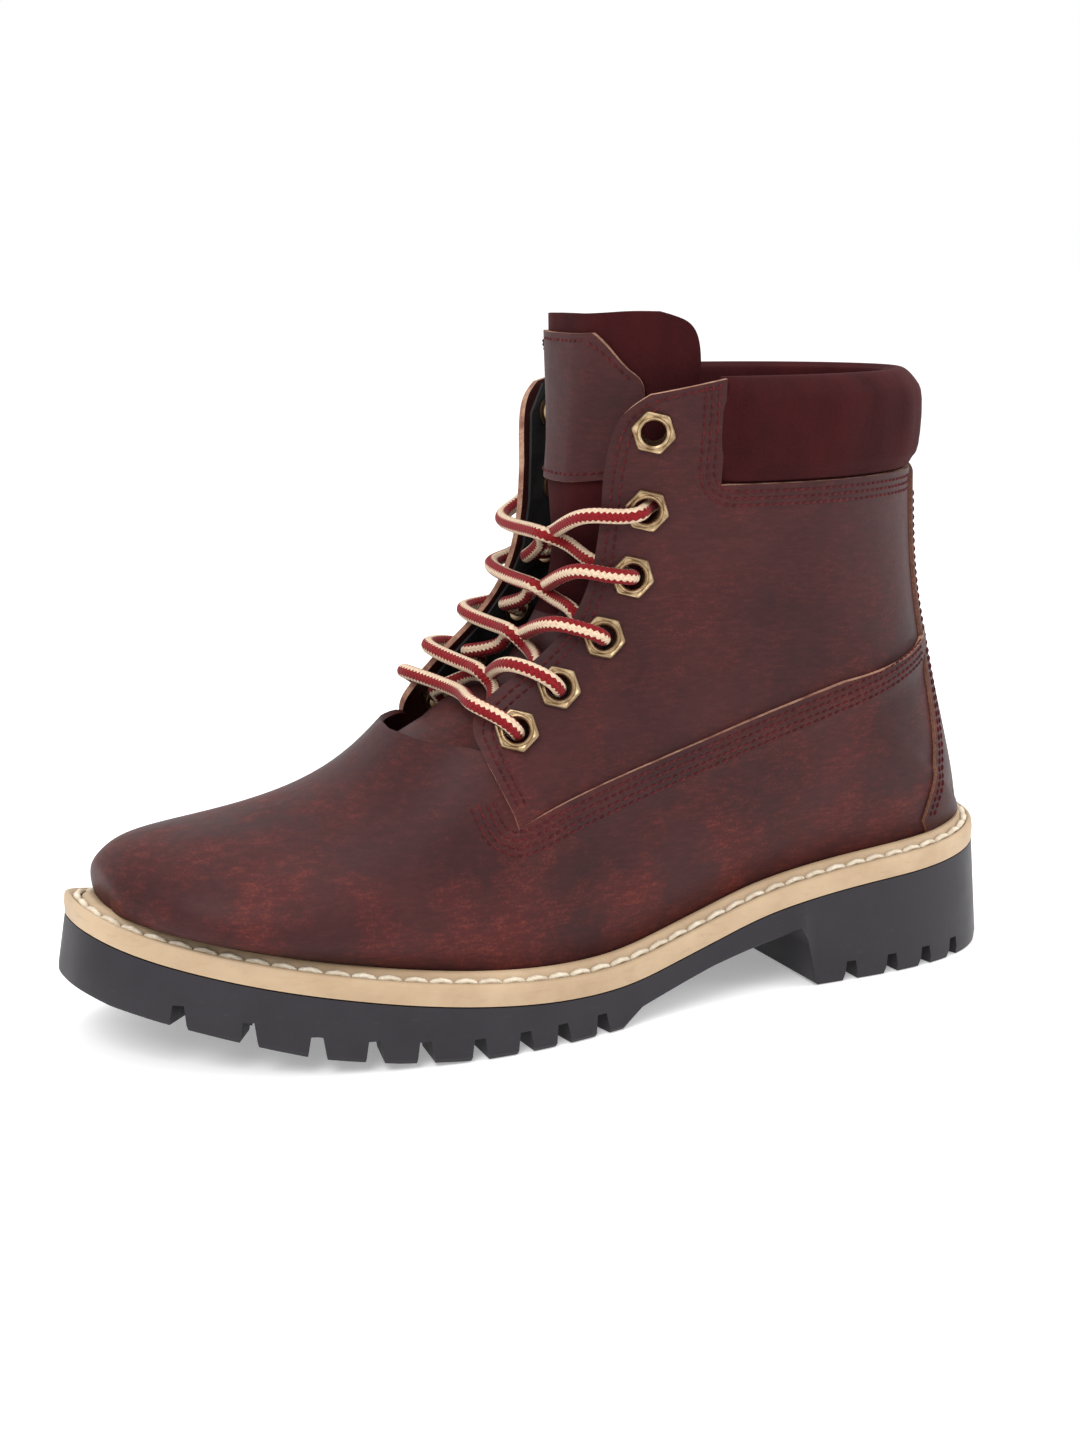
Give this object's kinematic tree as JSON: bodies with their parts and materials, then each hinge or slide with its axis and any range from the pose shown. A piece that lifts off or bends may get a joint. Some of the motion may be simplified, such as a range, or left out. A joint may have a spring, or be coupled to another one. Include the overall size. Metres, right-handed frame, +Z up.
{
  "type": "lace-up ankle boot",
  "caption": "Left lace-up ankle boot with a lugged rubber sole, stitched welt, leather upper, padded collar and tongue.",
  "frame": {"origin": "middle of the boot's bounding box, on the surface it stands on", "axes": "+Z up, -X toward the toe, +X toward the heel, -Y the outer (lateral) side, +Y the inner (medial) side"},
  "size_m": [0.299, 0.1098, 0.2038],
  "materials": {
    "burgundy_leather": "oiled pull-up",
    "burgundy_nubuck": "matte nubuck",
    "black_lining": "matte",
    "black_foam": "matte",
    "charcoal_rubber": "matte",
    "beige_welt": "satin",
    "tan_board": "matte",
    "steel": "satin",
    "antique_brass": "antique",
    "red_lace": "woven",
    "cream_thread": "matte"
  },
  "bodies": {
    "boot": {"aglet_lateral": "antique_brass", "aglet_medial": "antique_brass", "backstay": "burgundy_leather", "collar_cover": "burgundy_nubuck", "collar_foam": "black_foam", "cork_filler": "tan_board", "eyelet_lateral_1": "antique_brass", "eyelet_lateral_2": "antique_brass", "eyelet_lateral_3": "antique_brass", "eyelet_lateral_4": "antique_brass", "eyelet_lateral_5": "antique_brass", "eyelet_lateral_6": "antique_brass", "eyelet_medial_1": "antique_brass", "eyelet_medial_2": "antique_brass", "eyelet_medial_3": "antique_brass", "eyelet_medial_4": "antique_brass", "eyelet_medial_5": "antique_brass", "eyelet_medial_6": "antique_brass", "footbed": "black_lining", "heel_counter": "tan_board", "insole_board": "tan_board", "lace": "red_lace", "lace_tail_lateral": "red_lace", "lace_tail_medial": "red_lace", "outsole": "charcoal_rubber", "quarter_lateral": "burgundy_leather", "quarter_lining": "black_lining", "quarter_medial": "burgundy_leather", "steel_shank": "steel", "toe_puff": "tan_board", "tongue": "burgundy_nubuck", "tongue_patch_lower": "burgundy_leather", "vamp": "burgundy_leather", "vamp_lining": "black_lining", "welt": "beige_welt", "welt_thread": "cream_thread"},
    "tongue_top": {"tongue_flap": "burgundy_nubuck", "tongue_patch_upper": "burgundy_leather"}
  },
  "joints": [
    {"name": "tongue_fold", "type": "hinge", "parent": "boot", "child": "tongue_top", "pos_m": [-0.0008, -0.0007, 0.18], "axis": [0, -1, 0], "range_deg": [0, 45], "stiffness_Nm_per_rad": 0.05}
  ]
}
